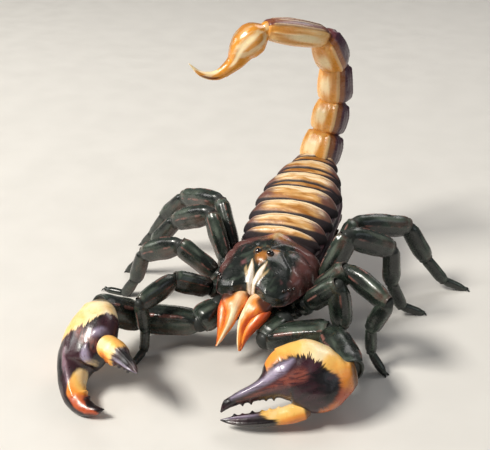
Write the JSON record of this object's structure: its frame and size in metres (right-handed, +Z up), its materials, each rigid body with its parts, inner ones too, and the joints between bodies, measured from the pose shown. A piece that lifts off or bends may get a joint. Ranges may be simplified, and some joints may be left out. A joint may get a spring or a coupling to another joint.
{
  "type": "scorpion",
  "caption": "Life-size scorpion standing on its legs, tail curled up and forward over the back, heavy claws held in front, orange jaws and tail over a dark body.",
  "frame": {"origin": "on the floor, under the middle of the box round the whole animal", "axes": "+Z up; the animal faces -Y and its left side is +X"},
  "size_m": [0.1104, 0.1174, 0.081],
  "materials": {
    "carapace": "glossy near-black cuticle with red-brown patches and fine granules",
    "eyes": "polished black",
    "chelicerae": "glossy orange cuticle, pale along the ridge, dark at the root",
    "back_plates": "satin tan plates, darker brown at the margins and sides",
    "belly": "satin dark brown soft cuticle",
    "combs": "satin pale tan",
    "tail": "glossy amber cuticle with granular keels",
    "sting": "glossy amber running to a dark brown point",
    "limbs": "glossy black-green cuticle with brown flushes",
    "claws": "glossy yellow-orange cuticle with a feathered black field and black fingers"
  },
  "bodies": {
    "root": {"carapace": "carapace", "eye_left": "eyes", "eye_right": "eyes", "chelicera_left": "chelicerae", "chelicera_right": "chelicerae", "chelicera_left_finger": "chelicerae", "chelicera_right_finger": "chelicerae", "tergite_1": "back_plates", "tergite_2": "back_plates", "tergite_3": "back_plates", "tergite_4": "back_plates", "tergite_5": "back_plates", "tergite_6": "back_plates", "tergite_7": "back_plates", "belly": "belly", "coxosternum": "limbs", "pectine_left": "combs", "pectine_right": "combs", "metasoma_1": "tail", "metasoma_2": "tail", "metasoma_3": "tail", "metasoma_4": "tail", "metasoma_5": "tail", "telson_vesicle": "tail", "telson_aculeus": "sting", "palp_left_trochanter": "limbs", "palp_left_femur": "limbs", "palp_left_patella": "limbs", "palp_left_manus": "claws", "palp_left_finger": "claws", "palp_right_trochanter": "limbs", "palp_right_femur": "limbs", "palp_right_patella": "limbs", "palp_right_manus": "claws", "palp_right_finger": "claws", "leg_left_1_femur": "limbs", "leg_left_1_patella": "limbs", "leg_left_1_foot": "limbs", "leg_left_2_femur": "limbs", "leg_left_2_patella": "limbs", "leg_left_2_foot": "limbs", "leg_left_3_femur": "limbs", "leg_left_3_patella": "limbs", "leg_left_3_foot": "limbs", "leg_left_4_femur": "limbs", "leg_left_4_patella": "limbs", "leg_left_4_foot": "limbs", "leg_right_1_femur": "limbs", "leg_right_1_patella": "limbs", "leg_right_1_foot": "limbs", "leg_right_2_femur": "limbs", "leg_right_2_patella": "limbs", "leg_right_2_foot": "limbs", "leg_right_3_femur": "limbs", "leg_right_3_patella": "limbs", "leg_right_3_foot": "limbs", "leg_right_4_femur": "limbs", "leg_right_4_patella": "limbs", "leg_right_4_foot": "limbs"}
  },
  "joints": []
}
